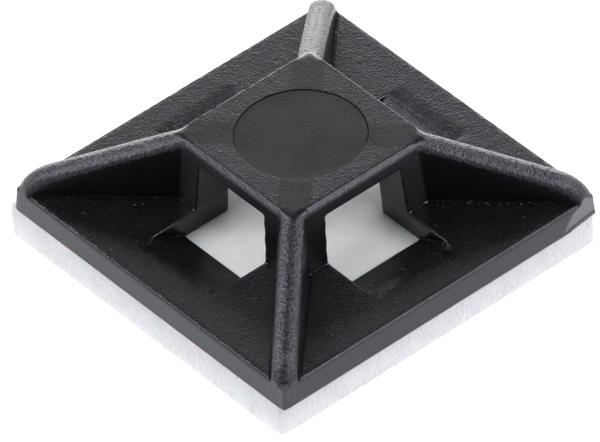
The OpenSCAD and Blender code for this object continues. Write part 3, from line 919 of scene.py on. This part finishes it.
# %% Floor
FLOOR_HALF = 3.0
FLOOR_GLOW = 0.40
floor_mesh = bpy.data.meshes.new("table")
corners = [(x * FLOOR_HALF, y * FLOOR_HALF, 0) for x, y in ((-1, -1), (1, -1), (1, 1), (-1, 1))]
floor_mesh.from_pydata(corners, [], [(0, 1, 2, 3)])
table = link_object("table", floor_mesh)
white, tree = new_material("white_light_table")
surface = add(tree, "ShaderNodeBsdfPrincipled", {"Base Color": linear("#f6f6f6"), "Roughness": 0.9,
                                                 "Emission Color": linear("#ffffff"),
                                                 "Emission Strength": FLOOR_GLOW})
add(tree, "ShaderNodeOutputMaterial", {"Surface": surface.outputs[0]})
table.data.materials.append(white)

# %% Camera
VIEW_AZIMUTH = -38.655
VIEW_ELEVATION = 41.955
VIEW_ROLL = -3.448
VIEW_DISTANCE = 468.045 * MM
VIEW_WIDTH = 27.26 * MM
VIEW_SHIFT = (0.184 * MM, 1.508 * MM)
VIEW_TARGET = Vector((0, 0, 3.0 * MM))
SENSOR = 36.0

azimuth, elevation, roll = map(math.radians, (VIEW_AZIMUTH, VIEW_ELEVATION, VIEW_ROLL))
towards = Vector((math.cos(elevation) * math.cos(azimuth), math.cos(elevation) * math.sin(azimuth),
                  math.sin(elevation)))
level_right = Vector((-math.sin(azimuth), math.cos(azimuth), 0))
level_up = towards.cross(level_right)
right = math.cos(roll) * level_right + math.sin(roll) * level_up
up = -math.sin(roll) * level_right + math.cos(roll) * level_up
lens = bpy.data.cameras.new("camera")
lens.sensor_width = SENSOR
lens.lens = SENSOR * VIEW_DISTANCE / VIEW_WIDTH
lens.clip_start = 0.01
camera = bpy.data.objects.new("camera", lens)
bpy.context.scene.collection.objects.link(camera)
camera_at = VIEW_TARGET + VIEW_DISTANCE * towards - VIEW_SHIFT[0] * right - VIEW_SHIFT[1] * up
camera.matrix_world = Matrix.Translation(camera_at) @ Matrix((right, up, towards)).transposed().to_4x4()
bpy.context.scene.camera = camera
print("lens", round(lens.lens, 1), "mm")


# %% Softboxes and sky
LIGHT_RADIUS = 0.6


def softbox(name, turn, rise, width, height, brightness):
    """A softbox seen from the mount at turn degrees round from the camera and rise degrees up."""
    lamp = bpy.data.lights.new(name, "AREA")
    lamp.shape = "RECTANGLE"
    lamp.size, lamp.size_y = width, height
    lamp.energy = math.pi * width * height * brightness
    box = bpy.data.objects.new(name, lamp)
    bpy.context.scene.collection.objects.link(box)
    around, above = azimuth + math.radians(turn), math.radians(rise)
    direction = Vector((math.cos(above) * math.cos(around), math.cos(above) * math.sin(around),
                        math.sin(above)))
    box.matrix_world = (Matrix.Translation(direction * LIGHT_RADIUS)
                        @ direction.to_track_quat("Z", "Y").to_matrix().to_4x4())
    return box


softbox("left_softbox", 285, 45, 0.50, 0.40, 4.0)
softbox("left_rear_softbox", 248, 40, 0.32, 0.36, 2.9)
softbox("right_softbox", 60, 42, 0.50, 0.40, 5.1)
softbox("right_rear_softbox", 130, 32, 0.35, 0.32, 3.3)
softbox("back_softbox", 180, 24, 0.44, 0.30, 2.0)
softbox("top_left_softbox", 270, 76, 0.30, 0.30, 1.5)
softbox("back_strip", 180, 4, 0.50, 0.12, 9.6)

HORIZON = 0.4
ZENITH = 0.02
sky = bpy.data.worlds.new("dim_room")
bpy.context.scene.world = sky
sky.use_nodes = True
tree = sky.node_tree
tree.nodes.clear()
view = add(tree, "ShaderNodeTexCoord").outputs["Generated"]
up_part = add(tree, "ShaderNodeSeparateXYZ", {"Vector": view})
fade = add(tree, "ShaderNodeMapRange", {"Value": up_part.outputs["Z"], "From Min": 0.3, "From Max": 0.65,
                                        "To Min": HORIZON, "To Max": ZENITH}, interpolation_type="SMOOTHSTEP")
glow = add(tree, "ShaderNodeBackground", {"Color": linear("#ffffff"), "Strength": fade.outputs[0]})
add(tree, "ShaderNodeOutputWorld", {"Surface": glow.outputs[0]})
bpy.context.scene.view_settings.view_transform = "Standard"
bpy.context.scene.view_settings.look = "None"
